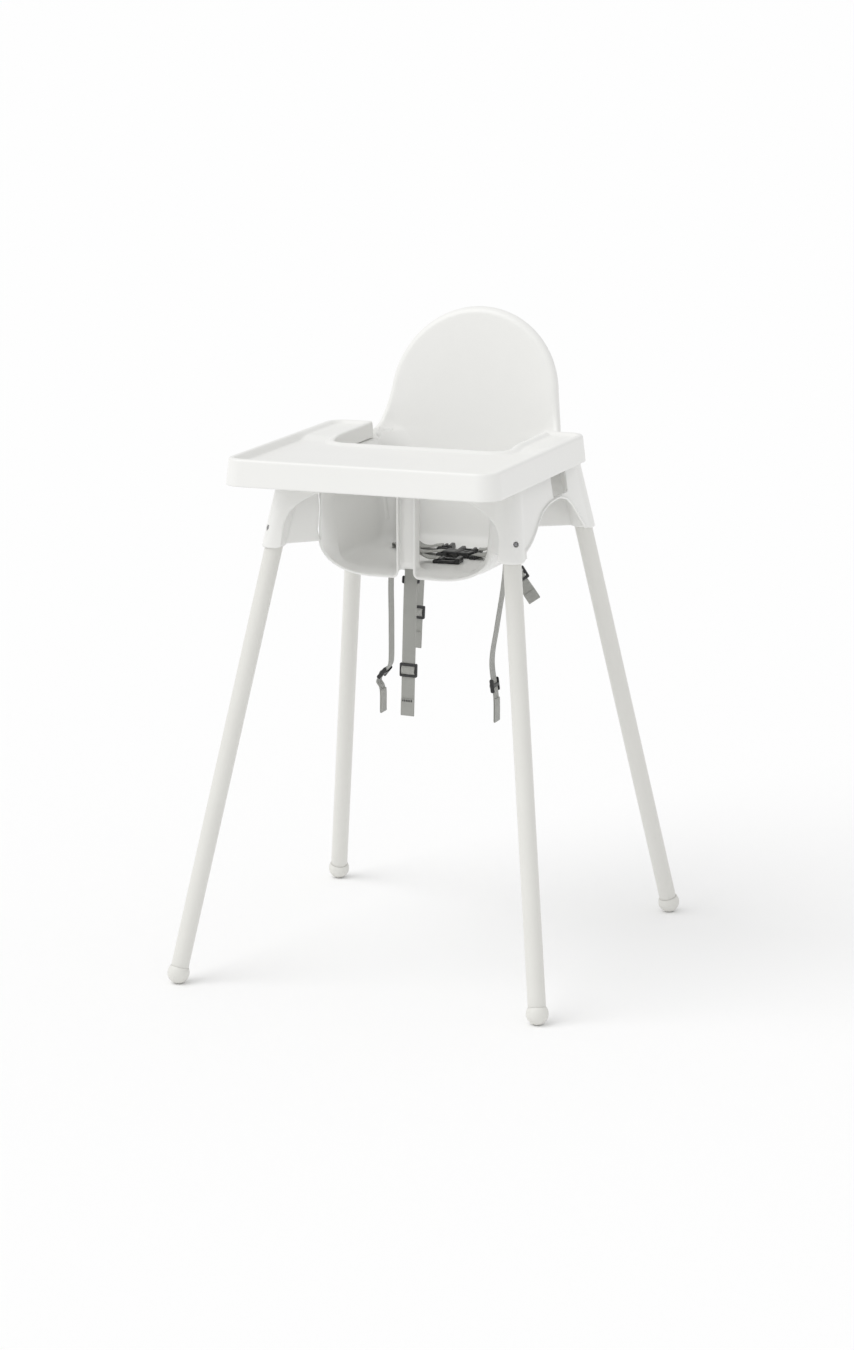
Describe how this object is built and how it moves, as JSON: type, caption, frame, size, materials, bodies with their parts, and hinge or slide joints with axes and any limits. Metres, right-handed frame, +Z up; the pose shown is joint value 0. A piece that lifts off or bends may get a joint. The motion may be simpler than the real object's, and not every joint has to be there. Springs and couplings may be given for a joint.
{
  "type": "baby high chair",
  "caption": "Baby high chair: moulded white tub seat with lift-off tray, plug-in splayed steel legs with ball feet and a five-point webbing harness.",
  "frame": {"origin": "on the floor, under the middle of the four ball feet", "axes": "+Z up, the child faces -Y, +X to the right of someone who looks at the front"},
  "size_m": [0.561, 0.616, 0.9],
  "materials": {
    "seat_plastic": "satin white polypropylene",
    "tray_plastic": "satin white polypropylene",
    "leg_paint": "warm white powder coat",
    "foot_plastic": "off-white moulded plastic",
    "button_steel": "plated steel",
    "spring_steel": "spring steel",
    "webbing": "grey woven polypropylene webbing",
    "buckle_plastic": "black moulded acetal"
  },
  "bodies": {
    "frame": {"seat_shell": "seat_plastic", "leg_front_left": "leg_paint", "foot_front_left": "foot_plastic", "leg_spring_front_left": "spring_steel", "leg_front_right": "leg_paint", "foot_front_right": "foot_plastic", "leg_spring_front_right": "spring_steel", "leg_rear_left": "leg_paint", "foot_rear_left": "foot_plastic", "leg_spring_rear_left": "spring_steel", "leg_rear_right": "leg_paint", "foot_rear_right": "foot_plastic", "leg_spring_rear_right": "spring_steel", "crotch_strap": "webbing", "waist_strap_left": "webbing", "waist_strap_right": "webbing", "shoulder_strap_left": "webbing", "shoulder_strap_right": "webbing", "crotch_stop": "buckle_plastic", "buckle_socket": "buckle_plastic", "crotch_clip": "buckle_plastic", "shoulder_clip_left": "buckle_plastic", "shoulder_clip_right": "buckle_plastic"},
    "leg_button_front_left": {"leg_button_front_left": "button_steel"},
    "leg_button_front_right": {"leg_button_front_right": "button_steel"},
    "leg_button_rear_left": {"leg_button_rear_left": "button_steel"},
    "leg_button_rear_right": {"leg_button_rear_right": "button_steel"},
    "tray": {"tray": "tray_plastic"},
    "slider_crotch": {"slider_crotch": "buckle_plastic"},
    "slider_waist_left": {"slider_waist_left": "buckle_plastic"},
    "slider_waist_right": {"slider_waist_right": "buckle_plastic"},
    "slider_shoulder_left": {"slider_shoulder_left": "buckle_plastic"},
    "slider_shoulder_right": {"slider_shoulder_right": "buckle_plastic"},
    "buckle_tongue": {"buckle_tongue": "buckle_plastic"}
  },
  "joints": [
    {"name": "tray_lift", "type": "slide", "parent": "frame", "child": "tray", "axis": [0, 0, 1], "range_m": [0, 0.12]},
    {"name": "button_press_front_left", "type": "slide", "parent": "frame", "child": "leg_button_front_left", "axis": [0.6931, 0.6683, -0.27], "range_m": [0, 0.0036], "stiffness_N_per_m": 1500, "springref_m": -0.0012, "deforming": ["leg_spring_front_left"]},
    {"name": "button_press_front_right", "type": "slide", "parent": "frame", "child": "leg_button_front_right", "axis": [-0.6931, 0.6683, -0.27], "range_m": [0, 0.0036], "stiffness_N_per_m": 1500, "springref_m": -0.0012, "deforming": ["leg_spring_front_right"]},
    {"name": "button_press_rear_left", "type": "slide", "parent": "frame", "child": "leg_button_rear_left", "axis": [0.6931, -0.6683, -0.27], "range_m": [0, 0.0036], "stiffness_N_per_m": 1500, "springref_m": -0.0012, "deforming": ["leg_spring_rear_left"]},
    {"name": "button_press_rear_right", "type": "slide", "parent": "frame", "child": "leg_button_rear_right", "axis": [-0.6931, -0.6683, -0.27], "range_m": [0, 0.0036], "stiffness_N_per_m": 1500, "springref_m": -0.0012, "deforming": ["leg_spring_rear_right"]},
    {"name": "slider_crotch_slide", "type": "slide", "parent": "frame", "child": "slider_crotch", "axis": [0.0267, 0, 0.9996], "range_m": [-0.035, 0.065]},
    {"name": "slider_waist_left_slide", "type": "slide", "parent": "frame", "child": "slider_waist_left", "axis": [0.6272, 0, 0.7788], "range_m": [-0.004, 0.004]},
    {"name": "slider_waist_right_slide", "type": "slide", "parent": "frame", "child": "slider_waist_right", "axis": [-0.1191, 0, 0.9929], "range_m": [-0.005, 0.022]},
    {"name": "slider_shoulder_left_slide", "type": "slide", "parent": "frame", "child": "slider_shoulder_left", "axis": [0.0467, 0, 0.9989], "range_m": [-0.025, 0.04]},
    {"name": "slider_shoulder_right_slide", "type": "slide", "parent": "frame", "child": "slider_shoulder_right", "axis": [-0.5697, 0, 0.8219], "range_m": [-0.014, 0.002]},
    {"name": "buckle_release", "type": "slide", "parent": "frame", "child": "buckle_tongue", "axis": [0.9919, -0.1271, 0], "range_m": [0, 0.012]}
  ]
}
